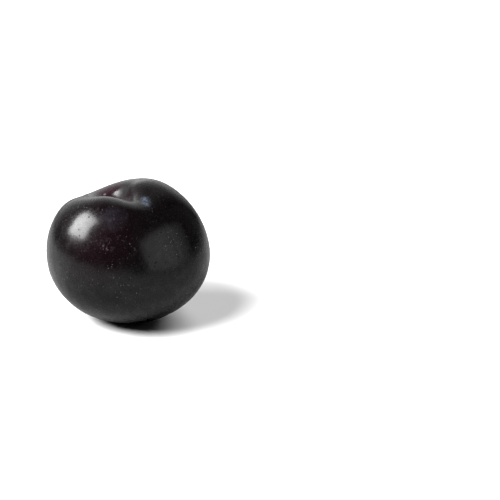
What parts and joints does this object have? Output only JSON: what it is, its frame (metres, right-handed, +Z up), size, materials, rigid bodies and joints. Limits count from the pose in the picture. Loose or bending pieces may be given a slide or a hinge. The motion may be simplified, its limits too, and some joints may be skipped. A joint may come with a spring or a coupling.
{
  "type": "plum",
  "caption": "Whole ripe black plum with a glossy dark skin, a seamed side, a deep stalk hollow and a short woody stalk.",
  "frame": {"origin": "middle of the small flat spot on the underside that the fruit rests on", "axes": "+Z up from the resting spot, +X towards the side that the seam runs down, +Y across the two lobes towards the higher one"},
  "size_m": [0.0692, 0.0617, 0.0555],
  "materials": {
    "skin": "gloss",
    "stalk": "matte"
  },
  "bodies": {
    "root": {"fruit": "skin", "stalk": "stalk"}
  },
  "joints": []
}
